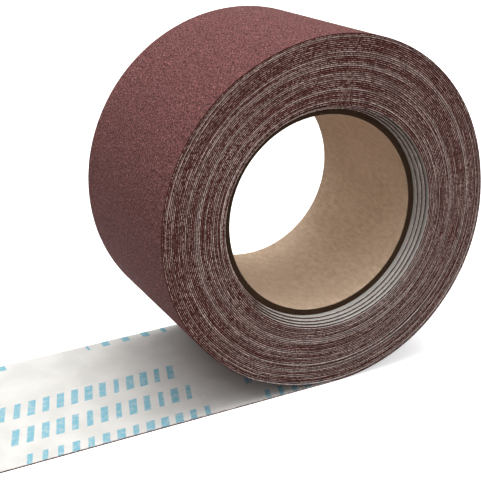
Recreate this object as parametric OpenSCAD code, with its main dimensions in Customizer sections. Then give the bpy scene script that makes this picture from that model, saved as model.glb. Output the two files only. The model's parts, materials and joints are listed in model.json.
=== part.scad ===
// Roll of coated abrasive cloth wound grit side out on a paper core.
//
// Frame: the origin is the centre of the core bore, +Y runs along the bore,
// +Z is up and the strip leaves the bottom of the roll towards -X, lying flat
// with its grit side down. The strip grows outward clockwise as seen from -Y.

/* [Strip] */
// Width of the abrasive strip
strip_w = 80; // [70:1:100]
// Thickness of the cloth backing
backing_t = 0.38; // [0.3:0.01:0.45]
// Thickness of the abrasive coat on the outside of the cloth
grit_t = 0.2; // [0.12:0.01:0.25]
// Distance from one turn to the next
pitch = 0.66; // [0.66:0.01:0.9]

/* [Roll] */
// Outer radius of the finished roll
roll_r = 67.5; // [60:0.5:90]
// Half turns in the tightly wound pack, an odd number
half_turns = 73; // [21:2:73]

/* [Core] */
// Radius of the bore through the paper core
bore_r = 38.1; // [30:0.1:40]
// Thickness of one paper ply of the core
ply_t = 0.4; // [0.3:0.05:0.4]
// Length of the core
core_l = 67; // [40:0.5:80]

/* [Inner wraps] */
// Clearance between the core and the first loose wrap
wrap_gap = 0.1; // [0.05:0.01:0.1]
// How far each loose wrap's edges stand back from those of the turn around it
wrap_step = 1; // [0:0.1:2]

/* [Tail] */
// Length of the flat lead that belongs to the wound pack
lead_l = 9; // [6:0.5:12]
// Length of one flexing section of the loose tail
section_l = 18; // [12:0.5:20]
// Clear slot between two sections
section_gap = 0.2; // [0.1:0.05:0.4]

/* [Hidden] */
$fn = 180;
strip_t = backing_t + grit_t;
plies = 6;
core_r = bore_r + plies * ply_t;
wrap_r = core_r + wrap_gap;
last_turn_r = roll_r - strip_t;
floor_z = -roll_r;
cut = 4 * roll_r;

cloth_colour = [0.84, 0.82, 0.78];
grit_colour = [0.42, 0.22, 0.2];
kraft_colour = [0.66, 0.54, 0.42];
kraft_end_colour = [0.36, 0.26, 0.18];

// A flat outline drawn as seen from -Y, given depth l and centred on y = 0
module along_axis(l) {
    translate([0, l / 2, 0])
        rotate([90, 0, 0])
            linear_extrude(l)
                children();
}

// A tube around the roll axis
module tube(inner_r, thickness, l) {
    along_axis(l)
        difference() {
            circle(r = inner_r + thickness);
            circle(r = inner_r);
        }
}

// Half of a ring: the half at +X, or else the half at -X
module half_ring(inner_r, thickness, at_plus_x) {
    difference() {
        circle(r = inner_r + thickness);
        circle(r = inner_r);
        translate([at_plus_x ? -cut : 0, -cut / 2])
            square(cut);
    }
}

// The wound strip, or one layer of it that starts at `inset` in its thickness.
// A true spiral is replaced by half rings. Each is half a pitch larger than the
// one before, and the centres of the -X halves sit half a pitch higher, so that
// every half ring runs smoothly into the next.
module wound_layer(inset, thickness) {
    for (k = [0 : half_turns - 1]) {
        at_plus_x = (half_turns - 1 - k) % 2 == 0;
        inner_r = last_turn_r + inset - (half_turns - 1 - k) * pitch / 2;
        translate([0, at_plus_x ? 0 : pitch / 2])
            half_ring(inner_r, thickness, at_plus_x);
    }
    translate([-lead_l, floor_z + strip_t - inset - thickness])
        square([lead_l, thickness]);
}

module core_ply(number, colour) {
    color(colour)
        tube(bore_r + (number - 1) * ply_t, ply_t, core_l);
}

// Wraps are numbered from the core outward, and wrap 1 is the narrowest
module inner_wrap(number, inset, thickness, colour) {
    wrap_w = strip_w - 2 * (4 - number) * wrap_step;
    color(colour)
        tube(wrap_r + (number - 1) * pitch + inset, thickness, wrap_w);
}

module wound_strip(inset, thickness, colour) {
    color(colour)
        along_axis(strip_w)
            wound_layer(inset, thickness);
}

// Flat sections of the loose tail, numbered from the roll outward. Each starts at
// its hinge line and stops a clear slot short of the next one.
module tail_section(number, inset, thickness, colour) {
    far_x = -lead_l - number * section_l;
    color(colour)
        along_axis(strip_w)
            translate([far_x, floor_z + strip_t - inset - thickness])
                square([section_l - section_gap, thickness]);
}

module core_liner_ply() { core_ply(1, kraft_colour); }
module core_body_ply(number) { core_ply(number + 1, kraft_end_colour); }
module core_outer_ply() { core_ply(plies, kraft_colour); }
module wrap_cloth(number) { inner_wrap(number, 0, backing_t, cloth_colour); }
module wrap_grit(number) { inner_wrap(number, backing_t, grit_t, grit_colour); }
module wound_cloth() { wound_strip(0, backing_t, cloth_colour); }
module wound_grit() { wound_strip(backing_t, grit_t, grit_colour); }
module tail_cloth(number) { tail_section(number, 0, backing_t, cloth_colour); }
module tail_grit(number) { tail_section(number, backing_t, grit_t, grit_colour); }

core_liner_ply();
core_body_ply(1);  // core_body_ply_1
core_body_ply(2);  // core_body_ply_2
core_body_ply(3);  // core_body_ply_3
core_body_ply(4);  // core_body_ply_4
core_outer_ply();
wrap_cloth(1);  // inner_wrap_1_cloth
wrap_grit(1);  // inner_wrap_1_grit
wrap_cloth(2);  // inner_wrap_2_cloth
wrap_grit(2);  // inner_wrap_2_grit
wrap_cloth(3);  // inner_wrap_3_cloth
wrap_grit(3);  // inner_wrap_3_grit
wound_cloth();
wound_grit();
tail_cloth(1);  // tail_1_cloth
tail_grit(1);  // tail_1_grit
tail_cloth(2);  // tail_2_cloth
tail_grit(2);  // tail_2_grit
tail_cloth(3);  // tail_3_cloth
tail_grit(3);  // tail_3_grit
tail_cloth(4);  // tail_4_cloth
tail_grit(4);  // tail_4_grit
tail_cloth(5);  // tail_5_cloth
tail_grit(5);  // tail_5_grit
tail_cloth(6);  // tail_6_cloth
tail_grit(6);  // tail_6_grit
tail_cloth(7);  // tail_7_cloth
tail_grit(7);  // tail_7_grit
tail_cloth(8);  // tail_8_cloth
tail_grit(8);  // tail_8_grit
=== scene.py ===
"""A roll of abrasive cloth on a paper core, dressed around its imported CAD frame."""
import json
import math

import bpy
import numpy as np
from mathutils import Euler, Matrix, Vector

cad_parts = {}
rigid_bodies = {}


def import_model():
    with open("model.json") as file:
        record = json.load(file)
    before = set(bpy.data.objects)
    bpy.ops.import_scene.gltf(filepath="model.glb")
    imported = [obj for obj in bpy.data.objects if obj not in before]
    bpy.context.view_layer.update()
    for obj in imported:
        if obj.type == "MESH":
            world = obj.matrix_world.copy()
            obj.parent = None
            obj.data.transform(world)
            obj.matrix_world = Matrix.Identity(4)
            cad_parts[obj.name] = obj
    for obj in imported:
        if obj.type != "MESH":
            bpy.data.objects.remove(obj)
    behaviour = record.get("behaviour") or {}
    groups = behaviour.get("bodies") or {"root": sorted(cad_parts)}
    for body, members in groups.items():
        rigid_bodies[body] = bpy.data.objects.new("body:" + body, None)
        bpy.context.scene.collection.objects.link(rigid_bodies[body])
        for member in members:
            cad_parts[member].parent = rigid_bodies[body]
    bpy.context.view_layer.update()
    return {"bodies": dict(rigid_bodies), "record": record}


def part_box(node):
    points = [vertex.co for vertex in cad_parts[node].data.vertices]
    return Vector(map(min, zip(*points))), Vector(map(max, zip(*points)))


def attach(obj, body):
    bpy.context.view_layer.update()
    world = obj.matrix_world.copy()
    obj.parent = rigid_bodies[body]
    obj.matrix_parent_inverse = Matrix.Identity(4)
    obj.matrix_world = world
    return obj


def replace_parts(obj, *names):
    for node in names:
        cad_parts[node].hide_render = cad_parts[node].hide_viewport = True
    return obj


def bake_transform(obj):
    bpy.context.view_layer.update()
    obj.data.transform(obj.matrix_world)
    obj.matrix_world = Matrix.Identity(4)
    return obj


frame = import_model()
MM = 0.001

# ---------------------------------------------------------------- sizes from the frame

wound_low, wound_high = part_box("wound_grit")
ROLL_R = -wound_low.z
HALF_W = wound_high.y
TAIL_COUNT = sum(name.startswith("tail_") for name in frame["bodies"])
WRAP_COUNT = sum(name.startswith("inner_wrap_") for name in frame["bodies"])
BORE_R = frame["record"]["mounts"][0]["dims"]["r_mm"] * MM
CORE_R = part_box("core_outer_ply")[1].x
CORE_LOW_Y, CORE_HIGH_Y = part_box("core_outer_ply")[0].y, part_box("core_outer_ply")[1].y
GRIT_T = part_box("tail_1_grit")[1].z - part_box("tail_1_grit")[0].z
CLOTH_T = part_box("tail_1_cloth")[1].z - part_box("tail_1_cloth")[0].z
STRIP_T = GRIT_T + CLOTH_T
SECTION_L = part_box("tail_1_cloth")[0].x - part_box("tail_2_cloth")[0].x
TAIL_END_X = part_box("tail_%d_cloth" % TAIL_COUNT)[0].x
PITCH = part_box("inner_wrap_2_grit")[1].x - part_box("inner_wrap_1_grit")[1].x
# The CAD pack is built from this many half turns
HALF_TURNS = 73
FLOOR_Z = wound_low.z


def wrap_radius(number):
    """Inner radius of a loose inner wrap, number 1 being next to the core."""
    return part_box("inner_wrap_%d_grit" % number)[1].x - STRIP_T


# ---------------------------------------------------------------- repeatable noise


# Spacing of the nicks in a cut edge, and of the slow sideways sway of the strip
NICK_STEP = 1.6 * MM
SWAY_STEP = 110.0 * MM


def smooth_noise(s, step, seed):
    """Smooth values between -1 and 1 along s, with a new random value every step."""
    knots = np.random.RandomState(seed).uniform(-1, 1, 4096)
    t = np.asarray(s) / step + 1000.0
    i = np.floor(t).astype(int)
    f = t - i
    f = f * f * (3 - 2 * f)
    return knots[i % 4096] * (1 - f) + knots[(i + 1) % 4096] * f


# ---------------------------------------------------------------- mesh making


def new_piece(name, vertices, faces, material, sharp_deg=35):
    mesh = bpy.data.meshes.new(name)
    mesh.from_pydata([tuple(v) for v in vertices], [], faces)
    mesh.shade_smooth()
    mesh.set_sharp_from_angle(angle=math.radians(sharp_deg))
    mesh.materials.append(material)
    piece = bpy.data.objects.new(name, mesh)
    bpy.context.scene.collection.objects.link(piece)
    return piece


def swept(name, stations, along, depth, material, loop=False, proud_highlight=None, across=0.0, sharp_deg=35):
    """A closed solid from an array of stations, each a ring of cross-section points.

    along is the length along the strip at each station and depth is 0 on the
    printed side and 1 on the outer side for each cross-section point. The proud highlight
    value is how far each station's edge stands out, and it sets how strongly the cut edge is
    painted paler, partly more fuzz and partly a painted highlight. across moves the print sideways.
    """
    count, points = stations.shape[:2]
    steps = count if loop else count - 1
    faces = []
    for i in range(steps):
        a, b = i * points, ((i + 1) % count) * points
        for j in range(points):
            k = (j + 1) % points
            faces.append((a + j, a + k, b + k, b + j))
    if not loop:
        last = (count - 1) * points
        faces.append(tuple(range(points))[::-1])
        faces.append(tuple(last + j for j in range(points)))
    piece = new_piece(name, stations.reshape(-1, 3), faces, material, sharp_deg)
    mesh = piece.data
    widths = stations[:, :, 1] + across
    corner = np.empty(len(mesh.loops), int)
    mesh.loops.foreach_get("vertex_index", corner)
    station, point = corner // points, corner % points
    length = np.asarray(along, float)[station]
    if loop:
        turn = along[-1] - along[0] + (along[1] - along[0])
        starts = np.empty(len(mesh.polygons), int)
        mesh.polygons.foreach_get("loop_start", starts)
        closing = np.arange(len(mesh.polygons)) >= (count - 1) * points
        for start in starts[closing]:
            for c in range(start, start + 4):
                if station[c] == 0:
                    length[c] += turn
    uv = np.stack([length, widths[station, point]], 1)
    layer = mesh.uv_layers.new(name="strip")
    layer.data.foreach_set("uv", uv.astype(np.float32).ravel())
    values = np.tile(np.asarray(depth, float), count)
    mesh.attributes.new("depth", "FLOAT", "POINT").data.foreach_set("value", values.astype(np.float32))
    if proud_highlight is not None:
        mesh.attributes.new("proud_highlight", "FLOAT", "POINT").data.foreach_set(
            "value", np.repeat(proud_highlight, points).astype(np.float32))
    return piece


def rectangles(front, back, printed, outer):
    """Stations of a strip's rectangular section. printed and outer are the (x, z) of its two faces."""
    corners = ((printed, front), (printed, back), (outer, back), (outer, front))
    return np.stack([np.stack([x, edge, z], 1) for (x, z), edge in corners], 1)


# ---------------------------------------------------------------- materials


class Graph:
    """A material's node tree, with short calls for the nodes used here."""

    def __init__(self, name):
        self.material = bpy.data.materials.new(name)
        self.material.use_nodes = True
        self.tree = self.material.node_tree
        self.shader = self.tree.nodes["Principled BSDF"]

    def put(self, socket, value):
        if isinstance(value, bpy.types.NodeSocket):
            self.tree.links.new(value, socket)
        elif isinstance(value, tuple) and socket.type == "RGBA":
            socket.default_value = (*value, 1.0)
        else:
            socket.default_value = value

    def node(self, kind, output=0, inputs=(), **properties):
        made = self.tree.nodes.new("ShaderNode" + kind)
        for key, value in properties.items():
            setattr(made, key, value)
        for key, value in dict(inputs).items():
            self.put(made.inputs[key], value)
        return made.outputs[output]

    def math(self, operation, a, b=0.0, c=0.0):
        return self.node("Math", inputs={0: a, 1: b, 2: c}, operation=operation)

    def mix(self, factor, a, b, blend="MIX"):
        return self.node("Mix", output=2, inputs={0: factor, 6: a, 7: b},
                         data_type="RGBA", blend_type=blend)

    def remap(self, value, low, high, to_low=0.0, to_high=1.0, smooth=True):
        return self.node("MapRange", inputs={0: value, 1: low, 2: high, 3: to_low, 4: to_high},
                         interpolation_type="SMOOTHSTEP" if smooth else "LINEAR")

    def noise(self, vector, scale, detail=2.0, roughness=0.5):
        return self.node("TexNoise", inputs={"Vector": vector, "Scale": scale, "Detail": detail,
                                             "Roughness": roughness})

    def position(self):
        return self.node("TexCoord", output="Object")

    def stretched(self, vector, x, y, z):
        return self.node("Mapping", inputs={"Vector": vector, "Scale": (x, y, z)})

    def bump(self, height, distance, strength=1.0, under=None):
        inputs = {"Height": height, "Distance": distance, "Strength": strength}
        if under is not None:
            inputs["Normal"] = under
        return self.node("Bump", inputs=inputs)

    def finish(self, colour, roughness, normal=None, specular=0.3, sheen=0.0):
        self.put(self.shader.inputs["Base Color"], colour)
        self.put(self.shader.inputs["Roughness"], roughness)
        self.put(self.shader.inputs["Specular IOR Level"], specular)
        self.put(self.shader.inputs["Sheen Weight"], sheen)
        if normal is not None:
            self.put(self.shader.inputs["Normal"], normal)
        return self.material


GRAINS_PER_M = 1900.0


def abrasive_material():
    """Red-brown aluminium oxide grain, closely coated, with paler grains and dark gaps. Its cut edges and
    underside are painted near-black: partly the coat's own dark edge, partly painted shade of the gaps
    between turns.
    """
    g = Graph("abrasive_grain")
    place = g.position()
    depth = g.node("Attribute", output="Fac", attribute_name="depth")
    grain = g.node("TexVoronoi", output="Distance", inputs={"Vector": place, "Scale": GRAINS_PER_M})
    tint = g.node("TexVoronoi", output="Color", inputs={"Vector": place, "Scale": GRAINS_PER_M})
    tint_value = g.node("SeparateColor", output=0, inputs={0: tint})
    fine = g.noise(place, 2900.0, 2.0, 0.6)
    clumps = g.noise(place, 1600.0, 2.0, 0.5)
    cloud = g.noise(place, 45.0, 3.0, 0.5)
    base = g.mix(tint_value, (0.07, 0.0145, 0.0135), (0.15, 0.041, 0.038))
    base = g.mix(g.remap(clumps, 0.46, 0.7), base, (0.36, 0.135, 0.128))
    base = g.mix(g.remap(fine, 0.54, 0.74), base, (0.66, 0.35, 0.33))
    base = g.mix(g.remap(clumps, 0.5, 0.27, 0.0, 0.95), base, (0.03, 0.007, 0.006))
    base = g.mix(g.remap(grain, 0.5, 0.95, 0.0, 0.65), base, (0.03, 0.008, 0.007))
    base = g.mix(g.remap(cloud, 0.35, 0.68, 0.0, 0.15), base, (0.17, 0.056, 0.052))
    # Near-black wherever depth is below 1, on the coat's cut edges and underside: partly the coat's own
    # dark edge, partly painted shade in the gaps between turns and along the outline.
    base = g.mix(g.math("LESS_THAN", depth, 0.99), base, (0.016, 0.006, 0.005))
    height = g.math("ADD", g.math("MULTIPLY", grain, -0.7), g.math("ADD", fine, clumps))
    normal = g.bump(height, 0.0003, 1.0)
    return g.finish(base, g.remap(tint_value, 0.0, 1.0, 0.7, 0.95), normal, specular=0.16)


# The printed pattern, in millimetres along and across the strip. BAR_LEAN is in bar pitches per
# millimetre across.
PRINT_PERIOD = 94.0
PRINT_GROUP = 74.5
PRINT_START = 50.5
BAR_PITCH = 5.73
BAR_LEAN = 0.055
ROW_PITCH = 19.15
ROW_CENTRE = -0.75
ROW_HALF_H = 5.4
ROWS_END = 10.0
TOP_ROW_LOW, TOP_ROW_HIGH = 35.5, 41.5
TOP_PITCH = 9.0
TOP_PERIOD = 66.0
TOP_GROUP = 36.0
TOP_START = 40.0
# Sideways shift of the print on every turn but the outermost, in metres
PACK_PRINT_OFFSET = 7.0 * MM


def printed_bars(g, strip):
    """How much of the backing carries ink: groups of plain slanted bars in rows."""
    axes = g.node("SeparateXYZ", inputs={0: g.node("VectorMath", inputs={0: strip, 3: 1000.0},
                                                   operation="SCALE")})
    along = axes
    across = axes.node.outputs[1]
    wander = g.noise(strip, 900.0, 2.0)
    rough_edge = g.math("MULTIPLY", g.math("SUBTRACT", wander, 0.5), 0.5)
    row = g.math("DIVIDE", g.math("SUBTRACT", across, ROW_CENTRE), ROW_PITCH)
    row_number = g.math("ROUND", row)
    in_row = g.math("MULTIPLY", g.math("SUBTRACT", row, row_number), ROW_PITCH)
    off_row = g.math("ADD", g.math("ABSOLUTE", in_row), rough_edge)
    row_on = g.remap(off_row, ROW_HALF_H, ROW_HALF_H + 0.25, 1.0, 0.0)
    lower_rows = g.math("LESS_THAN", across, ROWS_END)
    group = g.math("FLOORED_MODULO", g.math("SUBTRACT", along, PRINT_START), PRINT_PERIOD)
    group_on = g.math("LESS_THAN", group, PRINT_GROUP)
    leaning = g.math("ADD", g.math("DIVIDE", group, BAR_PITCH), g.math("MULTIPLY", in_row, BAR_LEAN))
    cell = g.math("FLOOR", leaning)
    width = g.node("TexWhiteNoise", inputs={"W": g.math("ADD", cell, g.math("MULTIPLY", row_number, 17.0))},
                   noise_dimensions="1D")
    bar_half = g.math("ADD", g.math("MULTIPLY", width, 0.12), 0.17)
    off_bar = g.math("ABSOLUTE", g.math("SUBTRACT", g.math("FRACT", leaning), 0.5))
    off_bar = g.math("ADD", off_bar, g.math("MULTIPLY", rough_edge, 0.12))
    bar_on = g.remap(g.math("SUBTRACT", off_bar, bar_half), -0.02, 0.03, 1.0, 0.0)
    rows = g.math("MULTIPLY", g.math("MULTIPLY", row_on, lower_rows), g.math("MULTIPLY", group_on, bar_on))
    top_phase = g.math("FRACT", g.math("DIVIDE", along, TOP_PITCH))
    top_bar = g.remap(g.math("ABSOLUTE", g.math("SUBTRACT", top_phase, 0.5)), 0.16, 0.2, 1.0, 0.0)
    in_period = g.math("FLOORED_MODULO", g.math("SUBTRACT", along, TOP_START), TOP_PERIOD)
    top_group = g.math("LESS_THAN", in_period, TOP_GROUP)
    in_top = g.math("COMPARE", across, (TOP_ROW_LOW + TOP_ROW_HIGH) / 2, (TOP_ROW_HIGH - TOP_ROW_LOW) / 2)
    top_on = g.math("MULTIPLY", in_top, g.math("MULTIPLY", top_bar, top_group))
    return g.math("MAXIMUM", rows, top_on)


THREADS_PER_M = 1700.0


def cut_cloth_edge(g, strip, depth, proud_highlight):
    """The cut edge: a dotted line of pale threads, darker towards the resin side, and paler where it stands
    proud: partly more fuzz, partly a painted highlight.
    """
    along = g.node("SeparateXYZ", inputs={0: strip})
    dots = g.node("TexWhiteNoise", inputs={"W": g.math("FLOOR", g.math("MULTIPLY", along, THREADS_PER_M))},
                  noise_dimensions="1D")
    fluff = g.noise(g.stretched(strip, 700.0, 1.0, 1.0), 1.0, 2.0, 0.7)
    threads = g.math("MULTIPLY", g.math("ADD", dots, fluff), 0.5)
    arcs = g.noise(g.stretched(strip, 34.0, 1.0, 1.0), 1.0, 4.0, 0.75)
    pale = g.mix(g.remap(threads, 0.3, 0.68), (0.13, 0.024, 0.017), (1.0, 0.78, 0.7))
    dark = g.mix(threads, (0.03, 0.005, 0.004), (0.2, 0.042, 0.031))
    # Where the edge stands proud, more pale threads show and the colour is mixed towards pale pink: partly
    # more fuzz, partly a painted highlight where it catches the light.
    shown = g.math("ADD", g.remap(arcs, 0.38, 0.64, 0.08, 0.5), g.math("MULTIPLY", proud_highlight, 0.3))
    edge = g.mix(g.math("GREATER_THAN", depth, shown), pale, dark)
    return g.mix(g.math("MULTIPLY", proud_highlight, 0.35), edge, (0.85, 0.74, 0.69))


def cloth_material():
    """Pale woven backing with blue ink on its face and its own look on the cut edge."""
    g = Graph("cloth_backing")
    strip = g.node("UVMap", uv_map="strip")
    depth = g.node("Attribute", output="Fac", attribute_name="depth")
    # This value sets the painted highlight and paler fuzz on the cut edges.
    proud_highlight = g.node("Attribute", output="Fac", attribute_name="proud_highlight")
    warp = g.node("TexWave", inputs={"Vector": strip, "Scale": 620.0, "Distortion": 1.2, "Detail": 2.0,
                                     "Detail Scale": 2.0}, bands_direction="X")
    weft = g.node("TexWave", inputs={"Vector": strip, "Scale": 560.0, "Distortion": 1.2, "Detail": 2.0,
                                     "Detail Scale": 2.0}, bands_direction="Y")
    weave = g.math("MAXIMUM", warp, weft)
    slubs = g.noise(g.stretched(strip, 160.0, 1300.0, 1.0), 1.0, 3.0)
    mottle = g.noise(strip, 90.0, 3.0)
    pale = g.mix(g.remap(mottle, 0.3, 0.7), (0.64, 0.63, 0.6), (0.72, 0.708, 0.68))
    pale = g.mix(g.remap(slubs, 0.5, 0.8, 0.0, 0.35), pale, (0.62, 0.585, 0.54))
    pale = g.mix(g.remap(weave, 0.2, 0.9, 0.25, 0.0), pale, (0.6, 0.57, 0.52))
    ink = printed_bars(g, strip)
    patchy = g.remap(g.noise(strip, 420.0, 3.0), 0.25, 0.6, 0.55, 0.95)
    pale = g.mix(g.math("MULTIPLY", ink, patchy), pale, (0.17, 0.43, 0.53))
    on_edge = g.math("GREATER_THAN", depth, 0.002)
    colour = g.mix(on_edge, pale, cut_cloth_edge(g, strip, depth, proud_highlight))
    normal = g.bump(g.math("ADD", weave, g.math("MULTIPLY", slubs, 0.8)), 0.00004, 0.7)
    return g.finish(colour, 0.88, normal, specular=0.2, sheen=0.1)


def kraft_material():
    """Smooth kraft liner with faint fibres, specks and streaks, painted near-black on its cut ends: partly
    the cut fibres' own darker tone, partly painted shade of the recessed core end.
    """
    g = Graph("kraft_liner")
    place = g.position()
    facing = g.node("SeparateXYZ", output=1, inputs={0: g.node("TexCoord", output="Normal")})
    fibres = g.noise(g.stretched(place, 700.0, 260.0, 700.0), 1.0, 4.0, 0.65)
    streaks = g.noise(g.stretched(place, 130.0, 26.0, 130.0), 1.0, 3.0)
    cloud = g.noise(place, 45.0, 3.0)
    specks = g.node("TexVoronoi", output="Distance", inputs={"Vector": place, "Scale": 330.0})
    base = g.mix(g.remap(fibres, 0.3, 0.7), (0.58, 0.42, 0.29), (0.76, 0.585, 0.425))
    base = g.mix(g.remap(streaks, 0.35, 0.75, 0.0, 0.3), base, (0.55, 0.385, 0.265))
    base = g.mix(g.remap(cloud, 0.35, 0.7, 0.0, 0.4), base, (0.74, 0.58, 0.44))
    base = g.mix(g.remap(specks, 0.03, 0.1, 0.6, 0.0), base, (0.2, 0.11, 0.06))
    # Faces turned along the axis are the cut ends. Their near-black colour is partly the kraft's own cut
    # tone and partly painted shade of the recessed core end.
    cut = g.remap(g.math("ABSOLUTE", facing), 0.5, 0.8)
    base = g.mix(cut, base, g.mix(fibres, (0.03, 0.015, 0.008), (0.07, 0.038, 0.02)))
    normal = g.bump(g.math("ADD", fibres, g.math("MULTIPLY", cloud, 0.5)), 0.00005, 0.6)
    return g.finish(base, 0.85, normal, specular=0.15)


def board_material(number):
    """Dark recycled board, seen where the core is cut. Its very dark colour is partly the board's own tone
    and partly painted shade of the recessed core end. Every other ply is a little paler.
    """
    g = Graph("core_board_%d" % number)
    shade = 1.0 + 0.25 * (number % 2)
    # Both tones are partly board colour and partly painted shade of the recessed core end.
    dark = (0.022 * shade, 0.011 * shade, 0.006 * shade)
    light = (0.06 * shade, 0.034 * shade, 0.019 * shade)
    place = g.position()
    fibres = g.noise(place, 1500.0, 4.0, 0.7)
    torn = g.noise(place, 320.0, 3.0)
    base = g.mix(fibres, dark, light)
    base = g.mix(g.remap(torn, 0.4, 0.75, 0.0, 0.5), base, dark)
    normal = g.bump(fibres, 0.0001, 0.8)
    return g.finish(base, 0.92, normal, specular=0.15)


def floor_material():
    """A white lit table. Light that bounces off it onto the roll is kept low."""
    g = Graph("floor_white")
    g.finish((0.93, 0.93, 0.93), 0.9, specular=0.0)
    g.put(g.shader.inputs["Emission Color"], (1.0, 1.0, 1.0))
    g.put(g.shader.inputs["Emission Strength"], 0.55)
    dim = g.node("BsdfDiffuse", inputs={"Color": (0.1, 0.085, 0.08)})
    bounce = g.node("LightPath", output="Is Diffuse Ray")
    mixed = g.node("MixShader", inputs={0: bounce, 1: g.shader.outputs[0], 2: dim})
    g.tree.links.new(mixed, g.tree.nodes["Material Output"].inputs["Surface"])
    return g.material


# ---------------------------------------------------------------- camera and light


def add_camera():
    """The viewing angle: where the camera stands, what it aims at and how far it leans."""
    azimuth, elevation, lean = math.radians(-26.4), math.radians(18.6), math.radians(-3.03)
    distance = 465.5 * MM
    back = Vector((math.sin(azimuth) * math.cos(elevation), -math.cos(azimuth) * math.cos(elevation),
                   math.sin(elevation)))
    target = Vector((-19.0, 0.0, -17.8)) * MM
    data = bpy.data.cameras.new("camera")
    data.lens = 86.88
    data.sensor_width = 36.0
    camera = bpy.data.objects.new("camera", data)
    camera.rotation_mode = "QUATERNION"
    camera.location = back * distance
    level = (camera.location - target).to_track_quat("Z", "Y")
    camera.rotation_quaternion = level @ Euler((0.0, 0.0, lean)).to_quaternion()
    bpy.context.scene.collection.objects.link(camera)
    bpy.context.scene.camera = camera


# Each glow fades between two direction cosines and two strengths. The lower strength of the top one
# is a placeholder, because it starts from whichever of the other two is stronger.
FRONT_GLOW = (-1.0, -0.5, 1.6, 0.03)
BACK_GLOW = (0.6, 1.0, 0.03, 2.1)
TOP_GLOW = (0.6, 1.0, 0.03, 2.3)
WHITE = (1.0, 1.0, 1.0, 1.0)


def add_world():
    """A white tent, bright overhead, in front and behind, and dim to the left and right."""
    scene = bpy.context.scene
    scene.view_settings.view_transform = "Standard"
    world = bpy.data.worlds.new("soft_white")
    world.use_nodes = True
    scene.world = world
    nodes, links = world.node_tree.nodes, world.node_tree.links
    place = nodes.new("ShaderNodeTexCoord")
    axes = nodes.new("ShaderNodeSeparateXYZ")
    links.new(place.outputs["Generated"], axes.inputs[0])
    ramps = []
    for ranges in (FRONT_GLOW, BACK_GLOW, TOP_GLOW):
        ramp = nodes.new("ShaderNodeMapRange")
        ramp.interpolation_type = "SMOOTHSTEP"
        for socket, value in enumerate(ranges, 1):
            ramp.inputs[socket].default_value = value
        ramps.append(ramp)
    front, behind, tent = ramps
    low = nodes.new("ShaderNodeMath")
    low.operation = "MAXIMUM"
    links.new(axes.outputs["Y"], front.inputs[0])
    links.new(axes.outputs["Y"], behind.inputs[0])
    links.new(front.outputs[0], low.inputs[0])
    links.new(behind.outputs[0], low.inputs[1])
    links.new(axes.outputs["Z"], tent.inputs[0])
    links.new(low.outputs[0], tent.inputs[3])
    nodes["Background"].inputs["Color"].default_value = WHITE
    links.new(tent.outputs[0], nodes["Background"].inputs["Strength"])
    seen = nodes.new("ShaderNodeBackground")
    seen.inputs["Color"].default_value = WHITE
    path = nodes.new("ShaderNodeLightPath")
    mix = nodes.new("ShaderNodeMixShader")
    links.new(path.outputs["Is Camera Ray"], mix.inputs["Fac"])
    links.new(nodes["Background"].outputs[0], mix.inputs[1])
    links.new(seen.outputs[0], mix.inputs[2])
    links.new(mix.outputs[0], nodes["World Output"].inputs["Surface"])


def add_lamp():
    """A broad soft lamp, almost straight above."""
    lamp = bpy.data.lights.new("soft_key", "SUN")
    lamp.energy = 1.3
    lamp.angle = math.radians(35.0)
    key = bpy.data.objects.new("soft_key", lamp)
    key.rotation_mode = "QUATERNION"
    key.rotation_quaternion = Vector((0.16, 0.05, 1.0)).to_track_quat("Z", "Y")
    bpy.context.scene.collection.objects.link(key)


def add_floor(material):
    """A plain floor, just clear of the free end that lies on it."""
    half_size = 6.0
    z = FLOOR_Z - 0.05 * MM
    corners = [(x * half_size, y * half_size, z) for x, y in ((-1, -1), (1, -1), (1, 1), (-1, 1))]
    mesh = bpy.data.meshes.new("floor")
    mesh.from_pydata(corners, [], [(0, 1, 2, 3)])
    mesh.materials.append(material)
    floor = bpy.data.objects.new("floor", mesh)
    bpy.context.scene.collection.objects.link(floor)


# ---------------------------------------------------------------- the wound pack


LOOSE_ANGLE = math.radians(-12)
LOOSE_PUSH = 0.45 * MM
INNER_TUCK = 0.3 * MM


def settled(x, z, share, tuck=0.0):
    """Push points outward to the right, where the turns sit loose around the core.

    tuck is how far they are pulled in against the core everywhere else.
    """
    radius, theta = np.hypot(x, z), np.arctan2(z, x)
    loose = np.clip(np.cos(theta - LOOSE_ANGLE), 0, 1) ** 2
    push = LOOSE_PUSH * loose * share - tuck * (1 - loose)
    return x * (radius + push) / radius, z * (radius + push) / radius


def out_of_round(theta, middle, height):
    """A low swelling of the roll, height tall, around the angle middle in degrees."""
    away = np.angle(np.exp(1j * (theta - math.radians(middle))))
    return height * np.clip(np.cos(1.6 * away), 0, 1) ** 1.5


def spiral_place(a, inset, at_front=0.5):
    """Points of the two-centre spiral at angle a wound inward from the bottom of the roll.

    The roll is a little out of round. at_front is 1 on the front edge and 0 on the back edge.
    """
    half = np.minimum(np.floor(a / math.pi + 1e-9), HALF_TURNS - 1)
    radius = ROLL_R - STRIP_T + inset - half * PITCH / 2
    theta = a - math.pi / 2
    centre_z = np.where(half % 2 == 1, PITCH / 2, 0.0)
    share = np.clip((ROLL_R - radius) / (HALF_TURNS * PITCH / 2), 0, 1) ** 1.5
    upper_right = out_of_round(theta, 58, (0.3 + 1.5 * at_front) * MM)
    lower_left = out_of_round(theta, 206, (0.45 - 0.25 * at_front) * MM)
    radius = radius + (upper_right + lower_left) * (1 - share)
    return settled(radius * np.cos(theta), centre_z + radius * np.sin(theta), share, INNER_TUCK * share)


def wound_length(a):
    """Length of strip between the bottom of the roll and angle a, counted inward."""
    x, z = spiral_place(a, STRIP_T / 2)
    return np.concatenate([[0.0], np.cumsum(np.hypot(np.diff(x), np.diff(z)))])


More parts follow.
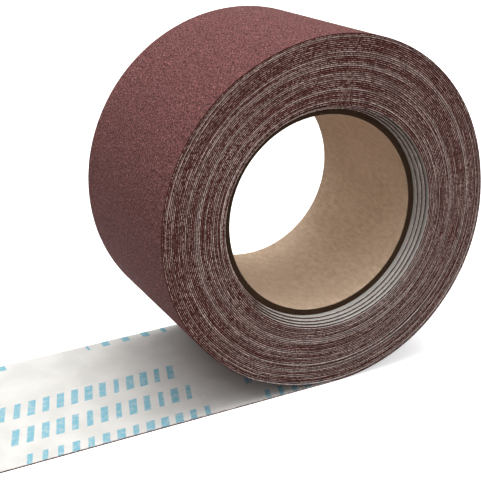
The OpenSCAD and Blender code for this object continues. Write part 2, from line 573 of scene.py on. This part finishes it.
def proud_arcs(s, seed, count, total):
    """Where a turn stands a little proud of its neighbours, from 0 to 1 along the strip."""
    random = np.random.RandomState(seed)
    lift = np.zeros_like(s)
    for _ in range(count):
        centre = -random.uniform(0.02, 0.98) * total
        half_length = random.uniform(0.02, 0.1)
        height = random.uniform(0.25, 1.0)
        t = np.clip(1 - np.abs(s - centre) / half_length, 0, 1)
        lift = np.maximum(lift, height * t * t * (3 - 2 * t))
    return lift


def wound_edges(s, a, total):
    """Axial places of the strip's two edges along the pack, and how proud the prouder one stands."""
    lift_h, nick_h, dish_h, dish_turns = 0.26 * MM, 0.035 * MM, 0.7 * MM, 1.3
    sway = 0.11 * MM * smooth_noise(s, SWAY_STEP, 3) + 0.05 * MM * smooth_noise(s, 0.02, 4)
    front_lift = proud_arcs(s, 11, 40, total)
    back_lift = proud_arcs(s, 12, 36, total)
    turns_left = HALF_TURNS / 2 - a / (2 * math.pi)
    lower_right = np.clip(np.cos(a - math.pi / 2 + math.radians(60)), 0, 1)
    dished = dish_h * np.exp(-turns_left / dish_turns) * (0.35 + 0.65 * lower_right)
    front = -HALF_W + sway - lift_h * front_lift + dished + nick_h * smooth_noise(s, NICK_STEP, 5)
    back = HALF_W + sway + lift_h * back_lift - dished + nick_h * smooth_noise(s, NICK_STEP, 6)
    return front, back, np.maximum(front_lift, back_lift)


def wound_layer(name, inset, thickness, material):
    """The whole wound spiral of one layer of the strip."""
    steps_per_half = 120
    a = np.linspace(0, HALF_TURNS * math.pi, HALF_TURNS * steps_per_half + 1)
    length = -wound_length(a)
    front, back, lift = wound_edges(length, a, -length[-1])
    outer = inset + thickness
    corners = []
    for depth, edge, at_front in ((inset, front, 1), (inset, back, 0), (outer, back, 0), (outer, front, 1)):
        x, z = spiral_place(a, depth, at_front)
        corners.append(np.stack([x, edge, z], 1))
    stations = np.stack(corners, 1)
    across = np.where(a > 2 * math.pi, PACK_PRINT_OFFSET, 0.0)[:, None]
    # The prouder edge's lift also sets its painted highlight.
    piece = swept(name, stations, length, (0, 0, 1, 1), material, proud_highlight=lift, across=across)
    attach(piece, "wound_strip")
    return piece


# ---------------------------------------------------------------- the loose inner wraps


# The dark coat is drawn a little thicker on the loose wraps, widening its near-black edge, which is partly
# painted shade of the gaps between them, and their front edges stand further in
WRAP_CLOTH_T = 0.75 * CLOTH_T
WRAP_SET_BACK = (1.5 * MM, 0.9 * MM, 0.6 * MM)
# Metres along the strip where the outermost wrap begins, and the strip counted for each wrap
WRAP_PRINT_START = -13.2
WRAP_TURN_L = 0.28


def wrap_layer(number, layer, inset, thickness, material):
    """One layer of one loose inner turn, numbered from the core outward."""
    node = "inner_wrap_%d_%s" % (number, layer)
    low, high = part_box(node)
    count = 360
    a = np.linspace(0, 2 * math.pi, count, endpoint=False)
    slack = 0.17 * MM + 0.04 * MM * np.sin(2 * a + 0.6) + 0.02 * MM * np.sin(5 * a + 1.0)
    radius = wrap_radius(number) + inset + slack * number / WRAP_COUNT
    length = WRAP_PRINT_START - WRAP_TURN_L * (WRAP_COUNT - number) - a * radius.mean()
    sway = 0.16 * MM * np.sin(2 * a + number) + 0.05 * MM * smooth_noise(length, 0.02, 30 + number)
    front_nicks = 0.03 * MM * smooth_noise(length, NICK_STEP, 40 + number)
    back_nicks = 0.03 * MM * smooth_noise(length, NICK_STEP, 50 + number)
    front = low.y + WRAP_SET_BACK[number - 1] + sway + front_nicks
    back = high.y + sway + back_nicks
    share = 0.27 * number - 0.12
    wander = np.clip(2 * smooth_noise(length, 0.035, 60 + number) - 0.7, 0, 1)
    print_shift = PACK_PRINT_OFFSET - 7.6 * MM * wander
    outer_r = radius + thickness
    stations = rectangles(front, back, settled(radius * np.cos(a), radius * np.sin(a), share),
                          settled(outer_r * np.cos(a), outer_r * np.sin(a), share))
    # The loose wraps' cut edges all get the painted edge highlight and paler fuzz at half strength.
    piece = swept("loose_wrap_%d_%s" % (number, layer), stations, length, (0, 0, 1, 1), material,
                  loop=True, proud_highlight=np.full(count, 0.5), across=print_shift[:, None])
    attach(piece, "inner_wrap_%d" % number)
    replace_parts(piece, node)
    return piece


# ---------------------------------------------------------------- the loose tail


def tail_layer(number, layer, low_z, thickness, material):
    """One stretch of the free end, centred on its hinge. The last one runs on to the cut end."""
    start = -(number - 1) * SECTION_L
    end = TAIL_END_X if number == TAIL_COUNT else start - SECTION_L
    cells = max(2, round((start - end) / (1.5 * MM)))
    x = np.linspace(start, end, cells + 1)
    s = -x
    sway = 0.11 * MM * smooth_noise(s, SWAY_STEP, 3)
    front = -HALF_W + 0.03 * MM * smooth_noise(s, NICK_STEP, 5) + sway
    back = HALF_W + 0.03 * MM * smooth_noise(s, NICK_STEP, 6) + sway
    top, bottom = np.full_like(x, low_z + thickness), np.full_like(x, low_z)
    stations = rectangles(front, back, (x, top), (x, bottom))
    # The free end's cut edges all get the painted edge highlight and paler fuzz at 0.6 strength.
    piece = swept("free_end_%d_%s" % (number, layer), stations, s, (0, 0, 1, 1), material,
                  proud_highlight=np.full(len(x), 0.6))
    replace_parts(piece, "tail_%d_%s" % (number, layer))
    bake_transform(piece)
    return piece


# ---------------------------------------------------------------- the paper core


def liner_bore(a, inner_r, front, back, chamfer, ring):
    """Rings of the liner's bore side, with the step of its spiral lap."""
    rows = 40
    lap_h, lap_lean, lap_start = 0.1 * MM, 0.55, 0.3
    lap_rise, lap_drop = 0.04, 0.006
    rings = [ring(inner_r + chamfer, front)]
    for k in range(rows + 1):
        t = k / rows
        y = front + chamfer + (back - front - 2 * chamfer) * t
        turn = (a / (2 * math.pi) - lap_lean * t + lap_start) % 1.0
        lap = lap_h * np.clip(turn / lap_rise, 0, 1) * np.clip((1 - turn) / lap_drop, 0, 1)
        rings.append(ring(inner_r + lap_h - lap, y))
    return rings + [ring(inner_r + chamfer, back)]


def core_tube(node, number, count, material):
    """One ply of the core, number 1 being the liner, with slightly frayed ends."""
    ply_t = (CORE_R - BORE_R) / count
    segments = 320
    fray, wave = 0.03 * MM, 0.05 * MM
    a = np.linspace(0, 2 * math.pi, segments, endpoint=False)
    random = np.random.RandomState(70 + number)
    ragged = fray * random.uniform(-1, 1, segments) + wave * np.sin(3 * a + number)
    front = CORE_LOW_Y + ragged
    back = CORE_HIGH_Y - fray * random.uniform(-1, 1, segments)
    chamfer = 0.12 * MM if number in (1, count) else 0.02 * MM
    cos, sin = np.cos(a), np.sin(a)

    def ring(radius, y):
        return np.stack([radius * cos, y, radius * sin], 1)

    inner = BORE_R + (number - 1) * ply_t
    inner_r, outer_r = np.full(segments, inner), np.full(segments, inner + ply_t)
    if number == 1:
        rings = liner_bore(a, inner_r, front, back, chamfer, ring)
    else:
        rings = [ring(inner_r, front + chamfer * 0.5), ring(inner_r, back - chamfer * 0.5)]
    stations = np.stack(rings + [ring(outer_r, back), ring(outer_r, front)], 1)
    depth = np.linspace(0, 1, stations.shape[1])
    name = "core_tube_%s" % node.replace("core_", "")
    piece = swept(name, stations, a * inner, depth, material, loop=True, sharp_deg=30)
    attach(piece, "core")
    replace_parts(piece, node)
    return piece


# ---------------------------------------------------------------- everything together

abrasive = abrasive_material()
cloth = cloth_material()
kraft = kraft_material()

add_camera()
add_world()
add_lamp()
add_floor(floor_material())

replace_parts(wound_layer("wound_backing", 0.0, CLOTH_T, cloth), "wound_cloth")
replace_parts(wound_layer("wound_abrasive", CLOTH_T, GRIT_T, abrasive), "wound_grit")
for number in range(1, WRAP_COUNT + 1):
    wrap_layer(number, "cloth", 0.0, WRAP_CLOTH_T, cloth)
    wrap_layer(number, "grit", WRAP_CLOTH_T, STRIP_T - WRAP_CLOTH_T, abrasive)
for number in range(1, TAIL_COUNT + 1):
    tail_layer(number, "cloth", FLOOR_Z + GRIT_T, CLOTH_T, cloth)
    tail_layer(number, "grit", FLOOR_Z, GRIT_T, abrasive)

PLIES = ["core_liner_ply"] + ["core_body_ply_%d" % ply for ply in range(1, 5)] + ["core_outer_ply"]
for number, node in enumerate(PLIES, 1):
    if number in (1, len(PLIES)):
        core_tube(node, number, len(PLIES), kraft)
    else:
        core_tube(node, number, len(PLIES), board_material(number))
